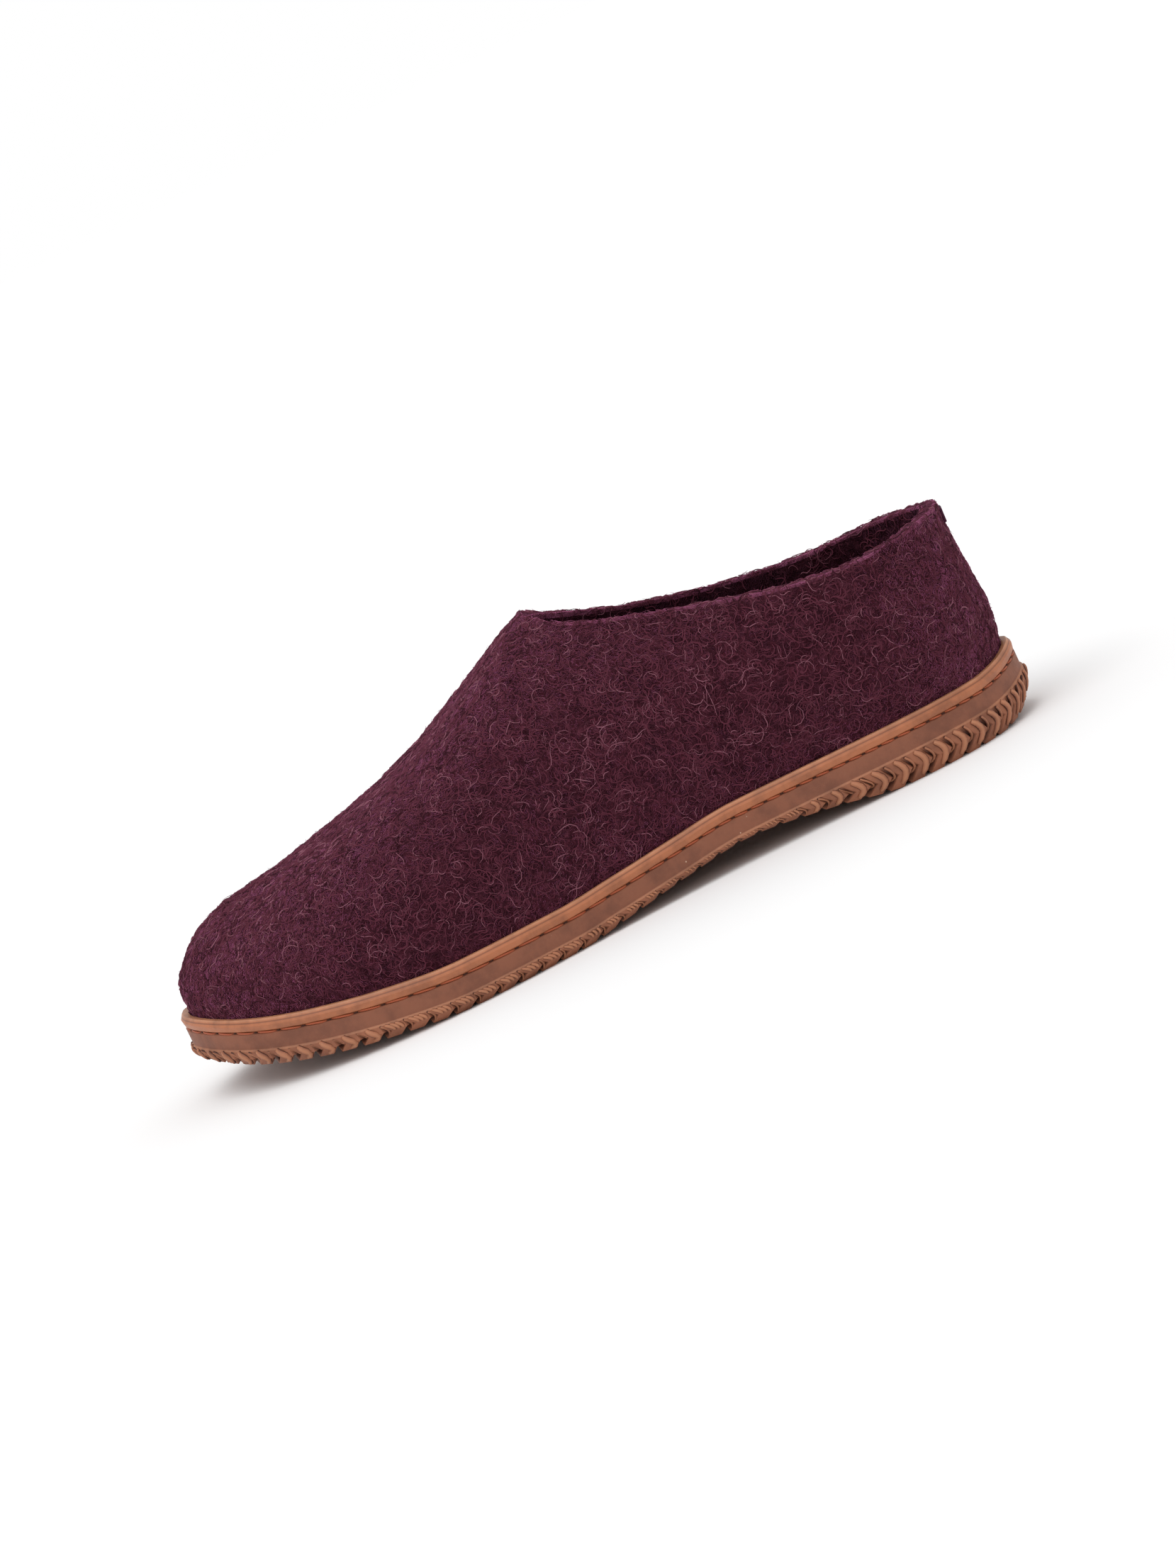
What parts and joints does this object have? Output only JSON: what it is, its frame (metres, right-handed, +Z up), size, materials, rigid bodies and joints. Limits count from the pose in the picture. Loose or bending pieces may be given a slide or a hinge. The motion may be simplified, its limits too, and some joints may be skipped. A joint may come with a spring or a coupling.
{
  "type": "wool slipper",
  "caption": "Slip-on felted wool slipper, plum felt upper on a honey-coloured moulded rubber cup sole with a stitched rim and lugged tread.",
  "frame": {"origin": "centre of the bounding box in plan, on the floor the sole stands on", "axes": "X along the foot with the toe to -X, Y across with the lateral side to -Y, Z up"},
  "size_m": [0.2648, 0.099, 0.0894],
  "materials": {
    "plum_felt": "matt felted wool with loose curled fibres",
    "honey_rubber": "satin moulded rubber",
    "insole_felt": "matt pressed felt",
    "tab_ribbon": "plain dark ribbon"
  },
  "bodies": {
    "root": {"upper": "plum_felt", "outsole": "honey_rubber", "insole": "insole_felt", "heel_tab": "tab_ribbon"}
  },
  "joints": []
}
